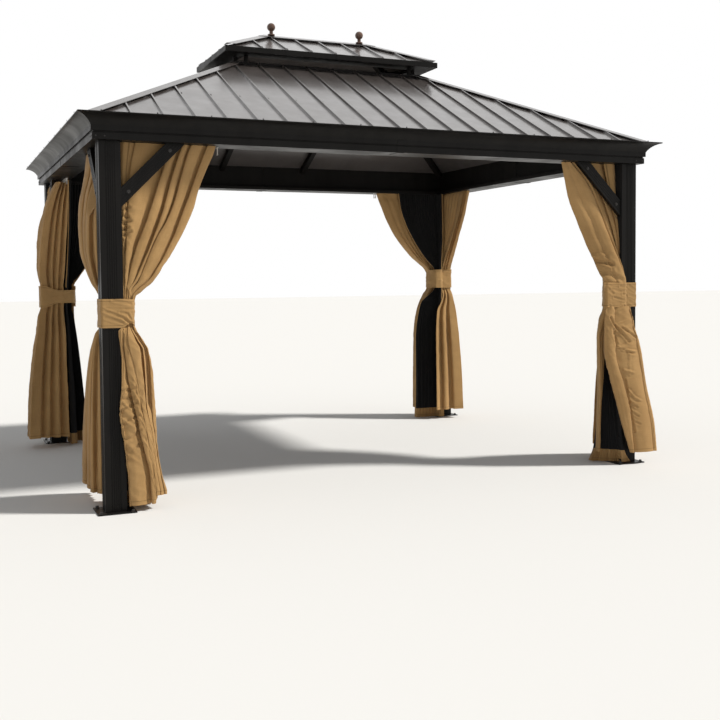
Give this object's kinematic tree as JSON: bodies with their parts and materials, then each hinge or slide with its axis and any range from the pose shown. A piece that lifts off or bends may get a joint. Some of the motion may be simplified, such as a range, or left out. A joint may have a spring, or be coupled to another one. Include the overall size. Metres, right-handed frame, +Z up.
{
  "type": "metal gazebo with two-tier roof and curtains",
  "caption": "Open rectangular metal garden gazebo with a two-tier hipped steel roof, fluted corner posts, diagonal braces, and curtains and netting tied back at each corner.",
  "frame": {"origin": "middle of the floor plan, at the underside of the base plates", "axes": "+X along the long sides, +Y from the front to the back, +Z up"},
  "size_m": [3.9, 3.08, 3.1773],
  "materials": {
    "frame_aluminium": "satin dark bronze powder coat",
    "inner_frame": "satin dark bronze powder coat",
    "plate_steel": "satin black powder coat",
    "roof_steel": "semi-gloss dark bronze coated steel",
    "finial_metal": "satin brown powder coat",
    "curtain_fabric": "woven polyester, khaki gold",
    "net_fabric": "fine black insect netting"
  },
  "bodies": {
    "root": {"base_plate_back_left": "plate_steel", "base_plate_back_right": "plate_steel", "base_plate_front_left": "plate_steel", "base_plate_front_right": "plate_steel", "beam_back": "frame_aluminium", "beam_front": "frame_aluminium", "beam_left": "frame_aluminium", "beam_right": "frame_aluminium", "beam_sleeves": "frame_aluminium", "common_rafters": "inner_frame", "corner_braces": "frame_aluminium", "cornice_back": "frame_aluminium", "cornice_front": "frame_aluminium", "cornice_left": "frame_aluminium", "cornice_right": "frame_aluminium", "cornice_straps": "frame_aluminium", "curtain_tracks": "frame_aluminium", "curtains_back_left": "curtain_fabric", "curtains_back_right": "curtain_fabric", "curtains_front_left": "curtain_fabric", "curtains_front_right": "curtain_fabric", "finials": "finial_metal", "hip_caps_lower": "roof_steel", "hip_caps_upper": "roof_steel", "hip_rafters": "inner_frame", "netting": "net_fabric", "post_back_left": "frame_aluminium", "post_back_right": "frame_aluminium", "post_front_left": "frame_aluminium", "post_front_right": "frame_aluminium", "ridge_cap": "roof_steel", "roof_lower_back": "roof_steel", "roof_lower_front": "roof_steel", "roof_lower_left": "roof_steel", "roof_lower_right": "roof_steel", "roof_ring": "inner_frame", "roof_upper_back": "roof_steel", "roof_upper_front": "roof_steel", "roof_upper_left": "roof_steel", "roof_upper_right": "roof_steel", "soffit": "inner_frame", "tie_bands": "curtain_fabric", "upper_fascia": "frame_aluminium", "upper_frame": "inner_frame", "vent_uprights": "inner_frame"}
  },
  "joints": []
}
